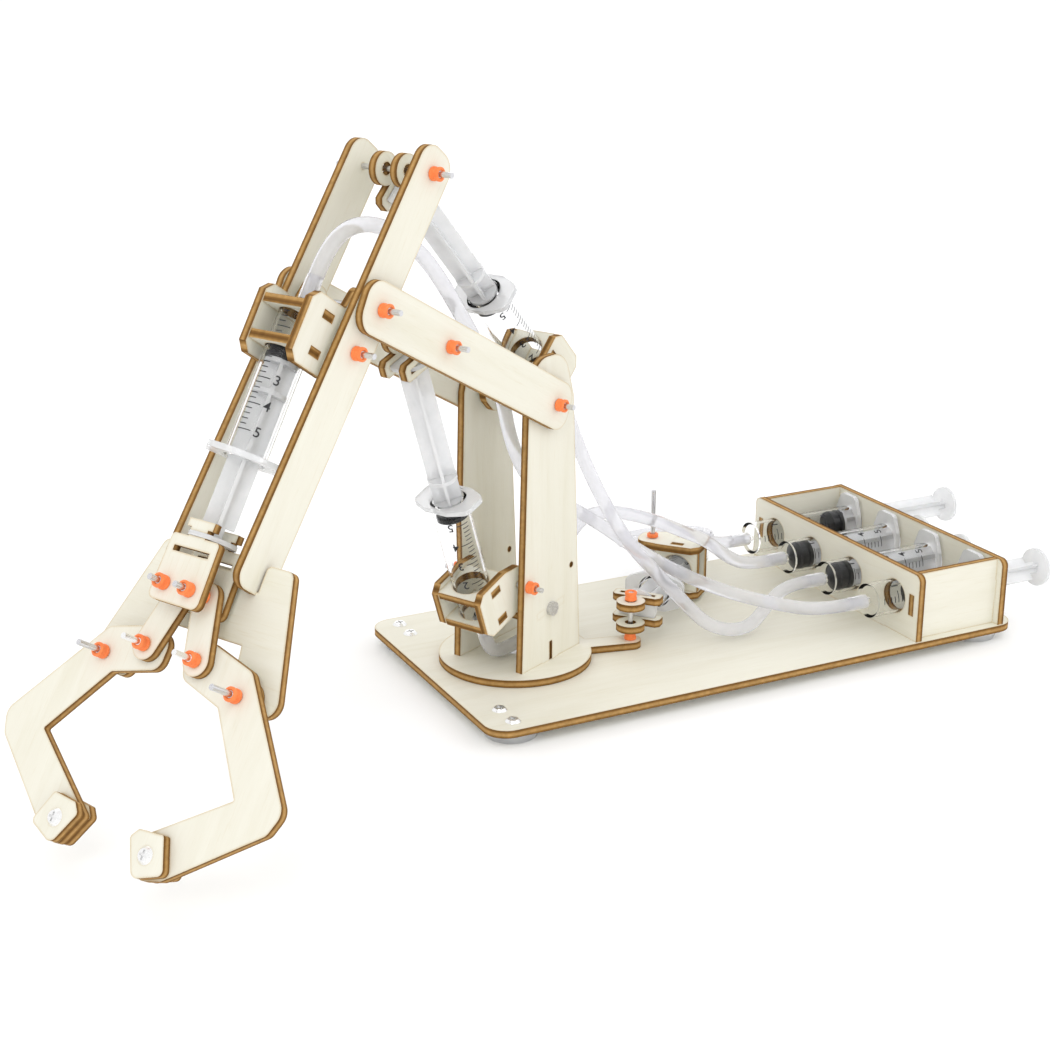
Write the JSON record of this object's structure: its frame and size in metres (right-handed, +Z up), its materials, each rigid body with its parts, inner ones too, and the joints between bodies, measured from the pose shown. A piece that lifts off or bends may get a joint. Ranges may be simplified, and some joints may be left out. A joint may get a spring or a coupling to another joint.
{
  "type": "hydraulic arm kit",
  "caption": "Plywood tabletop robot arm on a turntable with jaws, worked by clear syringes and tubes from a row of hand syringes in an open box.",
  "frame": {"origin": "middle of the bounding box on the table surface, under the feet", "axes": "+Z up; the base board lies along X with the control box at its +X end and the arm reaching towards -X; Y is across the board"},
  "size_m": [0.4492, 0.2314, 0.2146],
  "materials": {
    "plywood": "raw birch face, scorched brown laser-cut edges",
    "clear_plastic": "clear moulded polypropylene",
    "clear_tube": "clear flexible tubing",
    "black_rubber": "satin black seal",
    "foot_rubber": "milky soft rubber",
    "steel_rod": "bright drawn steel"
  },
  "bodies": {
    "base": {"base_board": "plywood", "feet": "foot_rubber", "corner_screws": "steel_rod", "control_front_wall": "plywood", "control_rear_wall": "plywood", "control_near_wall": "plywood", "control_far_wall": "plywood", "control_barrel_1": "clear_plastic", "control_barrel_2": "clear_plastic", "control_barrel_3": "clear_plastic", "control_barrel_4": "clear_plastic", "turn_pivot_pin": "steel_rod", "turntable_screw": "steel_rod", "tube_gripper": "clear_tube", "tube_elbow": "clear_tube", "tube_shoulder": "clear_tube", "tube_turn": "clear_tube"},
    "turntable": {"turntable_disc": "plywood", "tower_near": "plywood", "tower_far": "plywood", "tower_brace": "plywood", "tower_pins": "steel_rod", "lever_pin": "steel_rod"},
    "boom": {"boom_near": "plywood", "boom_far": "plywood", "boom_pins": "steel_rod"},
    "forearm": {"bar_near": "plywood", "bar_far": "plywood", "forearm_pins": "steel_rod", "gripper_base": "plywood", "gripper_box": "plywood", "gripper_barrel": "clear_plastic", "jaw_pivot_pins": "steel_rod"},
    "turn_syringe": {"turn_box": "plywood", "turn_barrel": "clear_plastic"},
    "turn_rod": {"turn_plunger": "clear_plastic", "turn_piston": "black_rubber", "turn_clevis": "plywood"},
    "shoulder_syringe": {"shoulder_box": "plywood", "shoulder_barrel": "clear_plastic"},
    "shoulder_rod": {"shoulder_plunger": "clear_plastic", "shoulder_piston": "black_rubber", "shoulder_clevis": "plywood"},
    "elbow_syringe": {"elbow_box": "plywood", "elbow_barrel": "clear_plastic"},
    "elbow_rod": {"elbow_plunger": "clear_plastic", "elbow_piston": "black_rubber", "elbow_clevis": "plywood"},
    "gripper_rod": {"gripper_plunger": "clear_plastic", "gripper_piston": "black_rubber", "yoke": "plywood", "yoke_pins": "steel_rod"},
    "link_left": {"link_left": "plywood"},
    "link_right": {"link_right": "plywood"},
    "jaw_left": {"jaw_left": "plywood"},
    "jaw_right": {"jaw_right": "plywood"},
    "control_rod_1": {"control_plunger_1": "clear_plastic"},
    "control_rod_2": {"control_plunger_2": "clear_plastic"},
    "control_rod_3": {"control_plunger_3": "clear_plastic"},
    "control_rod_4": {"control_plunger_4": "clear_plastic"}
  },
  "joints": [
    {"name": "turn", "type": "hinge", "parent": "base", "child": "turntable", "pos_m": [-0.0211, 0.04127, 0.0075], "axis": [0, 0, 1], "range_deg": [-25, 3], "deforming": ["tube_gripper", "tube_elbow", "tube_shoulder", "tube_turn"]},
    {"name": "boom_lift", "type": "hinge", "parent": "turntable", "child": "boom", "pos_m": [-0.0211, 0.04127, 0.1135], "axis": [-0.4524, 0.8918, 0], "range_deg": [-32, 0.5]},
    {"name": "elbow_swing", "type": "hinge", "parent": "boom", "child": "forearm", "pos_m": [-0.10771, -0.00267, 0.16579], "axis": [-0.4524, 0.8918, 0], "range_deg": [-0.5, 24]},
    {"name": "grip", "type": "slide", "parent": "forearm", "child": "gripper_rod", "axis": [-0.5026, -0.255, -0.8261], "range_m": [-0.0025, 0.005]},
    {"name": "turn_box_swivel", "type": "hinge", "parent": "base", "child": "turn_syringe", "pos_m": [0.0633, 0.07927, 0.0075], "axis": [0, 0, 1], "range_deg": [-0.85, 7.05]},
    {"name": "turn_rod_slide", "type": "slide", "parent": "turn_syringe", "child": "turn_rod", "axis": [-0.7664, -0.6424, 0], "range_m": [-0.00248, 0.02068]},
    {"name": "shoulder_box_swivel", "type": "hinge", "parent": "turntable", "child": "shoulder_syringe", "pos_m": [-0.03332, 0.03507, 0.045], "axis": [-0.4524, 0.8918, 0], "range_deg": [-14.71, 0.23]},
    {"name": "shoulder_rod_slide", "type": "slide", "parent": "shoulder_syringe", "child": "shoulder_rod", "axis": [-0.2953, -0.1498, 0.9436], "range_m": [-0.02761, 0.00043]},
    {"name": "elbow_box_swivel", "type": "hinge", "parent": "boom", "child": "elbow_syringe", "pos_m": [-0.0211, 0.04127, 0.1135], "axis": [-0.4524, 0.8918, 0], "range_deg": [-0.3705, 0.0077]},
    {"name": "elbow_rod_slide", "type": "slide", "parent": "elbow_syringe", "child": "elbow_rod", "axis": [-0.6198, -0.3144, 0.7191], "range_m": [-0.02125, 0.00044]},
    {"name": "link_left_swing", "type": "hinge", "parent": "gripper_rod", "child": "link_left", "pos_m": [-0.17042, -0.02831, 0.08447], "axis": [-0.7367, -0.3738, 0.5635], "range_deg": [-2.17, 4.33]},
    {"name": "link_right_swing", "type": "hinge", "parent": "gripper_rod", "child": "link_right", "pos_m": [-0.16544, -0.03812, 0.08447], "axis": [-0.7367, -0.3738, 0.5635], "range_deg": [-4.33, 2.17]},
    {"name": "jaw_left_swing", "type": "hinge", "parent": "forearm", "child": "jaw_left", "pos_m": [-0.19169, -0.01242, 0.06152], "axis": [-0.7367, -0.3738, 0.5635], "range_deg": [-17.59, 8.8]},
    {"name": "jaw_right_swing", "type": "hinge", "parent": "forearm", "child": "jaw_right", "pos_m": [-0.16518, -0.06468, 0.06152], "axis": [-0.7367, -0.3738, 0.5635], "range_deg": [-8.8, 17.59]},
    {"name": "control_rod_1_slide", "type": "slide", "parent": "base", "child": "control_rod_1", "axis": [1, 0, 0], "range_m": [-0.02068, 0.00248]},
    {"name": "control_rod_2_slide", "type": "slide", "parent": "base", "child": "control_rod_2", "axis": [1, 0, 0], "range_m": [-0.00043, 0.02761]},
    {"name": "control_rod_3_slide", "type": "slide", "parent": "base", "child": "control_rod_3", "axis": [1, 0, 0], "range_m": [-0.00044, 0.02125]},
    {"name": "control_rod_4_slide", "type": "slide", "parent": "base", "child": "control_rod_4", "axis": [1, 0, 0], "range_m": [-0.0051, 0.00255]}
  ],
  "couplings": [
    {"joint": "turn_box_swivel", "follows": "turn", "ratio": -0.27638},
    {"joint": "turn_rod_slide", "follows": "turn", "m_per_rad": -0.046467},
    {"joint": "control_rod_1_slide", "follows": "turn", "m_per_rad": 0.046467},
    {"joint": "shoulder_box_swivel", "follows": "boom_lift", "ratio": 0.45073},
    {"joint": "shoulder_rod_slide", "follows": "boom_lift", "m_per_rad": 0.048472},
    {"joint": "control_rod_2_slide", "follows": "boom_lift", "m_per_rad": -0.048472},
    {"joint": "elbow_box_swivel", "follows": "elbow_swing", "ratio": -0.015133},
    {"joint": "elbow_rod_slide", "follows": "elbow_swing", "m_per_rad": -0.049734},
    {"joint": "control_rod_3_slide", "follows": "elbow_swing", "m_per_rad": 0.049734},
    {"joint": "link_left_swing", "follows": "grip", "rad_per_m": 14.835},
    {"joint": "link_right_swing", "follows": "grip", "rad_per_m": -14.835},
    {"joint": "jaw_left_swing", "follows": "grip", "rad_per_m": -60.214},
    {"joint": "jaw_right_swing", "follows": "grip", "rad_per_m": 60.214},
    {"joint": "control_rod_4_slide", "follows": "grip", "ratio": -1}
  ]
}
